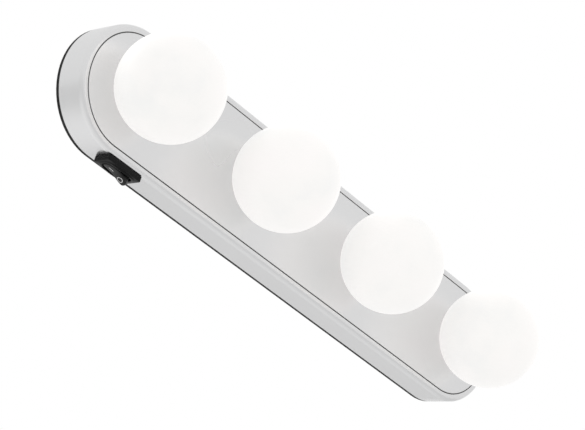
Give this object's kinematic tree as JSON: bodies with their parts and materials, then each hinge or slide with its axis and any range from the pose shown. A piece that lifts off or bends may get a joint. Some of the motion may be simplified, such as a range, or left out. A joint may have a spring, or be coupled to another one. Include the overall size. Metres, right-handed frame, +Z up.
{
  "type": "vanity light bar",
  "caption": "Battery mirror light: long satin-silver bar with round ends, frosted globes in a row, a black rocker switch below one end and suction cups behind.",
  "frame": {"origin": "in the mirror plane, at the middle of the bar's outline, where the suction cups press", "axes": "+X along the bar away from the switch, +Y into the mirror, +Z up; the globes face -Y"},
  "size_m": [0.308, 0.0749, 0.0685],
  "materials": {
    "satin_silver": "satin chrome plating on moulded plastic, soft blurred reflections",
    "black_cover": "fine-grained black moulding",
    "plated_steel": "bright zinc-plated steel",
    "frosted_globe": "frosted white diffuser, satin outside, lit from inside",
    "white_board": "white solder mask",
    "led_phosphor": "yellow phosphor face in a white frame",
    "battery_sleeve": "plain printed sleeve over a steel can, no marks",
    "spring_wire": "nickel-plated spring steel",
    "green_board": "green solder mask",
    "component_black": "moulded component bodies",
    "wire_red": "soft wire insulation",
    "wire_black": "soft wire insulation",
    "switch_black": "black nylon, semi-gloss",
    "rocker_black": "black nylon, semi-gloss, white pad-printed marks I and O",
    "contact_brass": "bright brass",
    "clear_vinyl": "clear soft vinyl"
  },
  "bodies": {
    "bar": {"front_shell": "satin_silver", "rear_cover": "black_cover", "cover_screws": "plated_steel", "globe_1": "frosted_globe", "globe_2": "frosted_globe", "globe_3": "frosted_globe", "globe_4": "frosted_globe", "lamp_board_1": "white_board", "lamp_board_2": "white_board", "lamp_board_3": "white_board", "lamp_board_4": "white_board", "lamp_chips": "led_phosphor", "board_screws": "plated_steel", "battery_1": "battery_sleeve", "battery_2": "battery_sleeve", "battery_3": "battery_sleeve", "battery_4": "battery_sleeve", "battery_springs": "spring_wire", "contact_plates": "spring_wire", "driver_board": "green_board", "driver_parts": "component_black", "wire_red": "wire_red", "wire_black": "wire_black", "switch_housing": "switch_black", "switch_terminals": "contact_brass", "suction_cup_1": "clear_vinyl", "suction_cup_2": "clear_vinyl", "suction_cup_3": "clear_vinyl", "suction_cup_4": "clear_vinyl"},
    "rocker": {"switch_rocker": "rocker_black", "switch_plunger": "contact_brass", "plunger_spring": "spring_wire"},
    "lever": {"contact_lever": "contact_brass"},
    "door": {"battery_door": "black_cover"}
  },
  "joints": [
    {"name": "rocker_tilt", "type": "hinge", "parent": "bar", "child": "rocker", "pos_m": [-0.1125, -0.0205, -0.032], "axis": [0, -1, 0], "range_deg": [0, 26]},
    {"name": "lever_tilt", "type": "hinge", "parent": "bar", "child": "lever", "pos_m": [-0.1125, -0.0205, -0.0234], "axis": [0, -1, 0], "range_deg": [-10, 0]},
    {"name": "door_swing", "type": "hinge", "parent": "bar", "child": "door", "pos_m": [0, -0.0046, 0.0183], "axis": [1, 0, 0], "range_deg": [0, 100]}
  ],
  "couplings": [
    {"joint": "lever_tilt", "follows": "rocker_tilt", "ratio": -0.38461}
  ]
}
